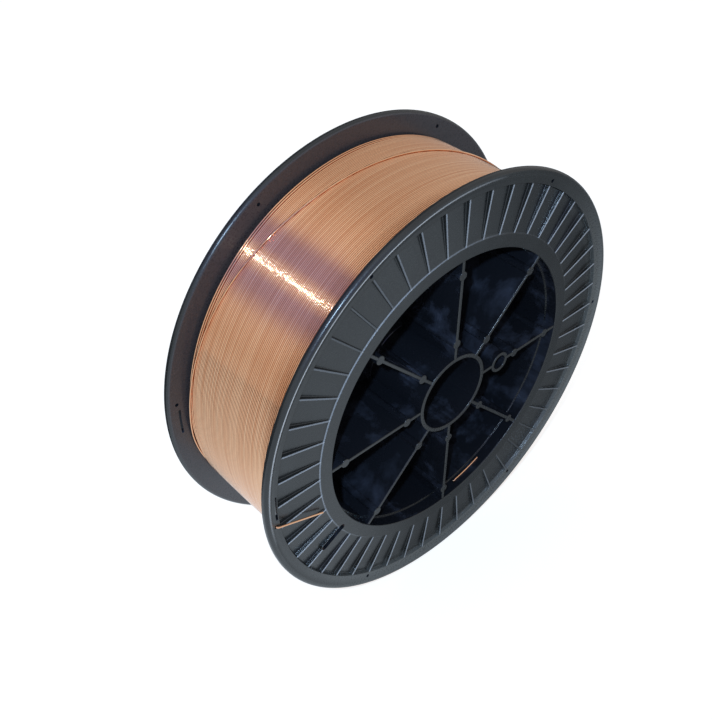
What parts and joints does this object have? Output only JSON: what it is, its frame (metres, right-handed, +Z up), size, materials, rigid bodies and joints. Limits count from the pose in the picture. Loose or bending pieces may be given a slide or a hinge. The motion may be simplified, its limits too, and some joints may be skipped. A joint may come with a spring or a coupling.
{
  "type": "mig welding wire spool",
  "caption": "Black moulded plastic spool full of layer-wound copper-coated steel welding wire, with its cut end bent over one flange.",
  "frame": {"origin": "middle of the hub bore, half-way between the two flanges", "axes": "+Y along the bore towards the back flange, +X towards the drive hole, +Z up as it stands on its rims"},
  "size_m": [0.2998, 0.1, 0.2998],
  "materials": {
    "spool_plastic": "satin black injection moulding",
    "copper_wire": "thin bright copper coat on drawn steel wire"
  },
  "bodies": {
    "root": {"front_half": "spool_plastic", "back_half": "spool_plastic", "wire_winding": "copper_wire", "wire_tail": "copper_wire", "wire_start": "copper_wire"}
  },
  "joints": []
}
